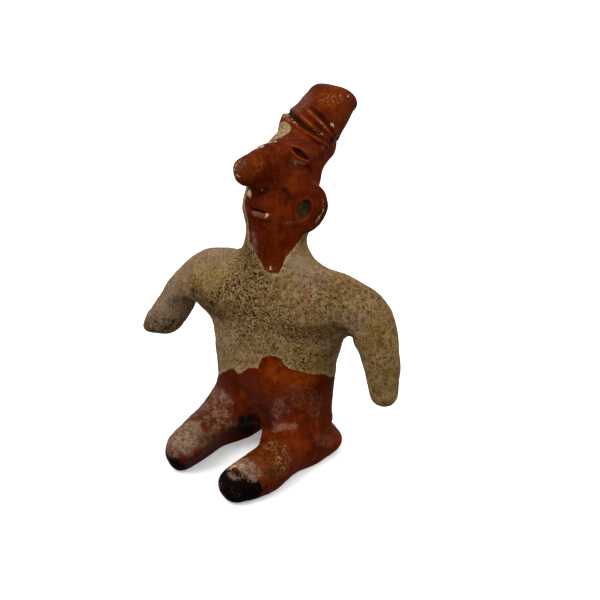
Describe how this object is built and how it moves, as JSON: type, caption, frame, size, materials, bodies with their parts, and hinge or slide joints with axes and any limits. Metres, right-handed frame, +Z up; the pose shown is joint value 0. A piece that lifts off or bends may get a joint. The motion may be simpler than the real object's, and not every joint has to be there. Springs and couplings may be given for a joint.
{
  "type": "ceramic seated figure",
  "caption": "Seated hand-built clay figure with short stub arms, straight legs, a head leaning back, a beak-like nose, pierced ear lobes and a tall banded cap.",
  "frame": {"origin": "on the supporting surface, under the middle of the figure's bounding box", "axes": "+X to the figure's left, -Y the way its legs and face point, +Z up"},
  "size_m": [0.2138, 0.166, 0.2652],
  "materials": {
    "fired_clay": "cream speckled matt clay with burnished red-brown slip on the face, cap, lower belly and legs"
  },
  "bodies": {
    "root": {"figure": "fired_clay"}
  },
  "joints": []
}
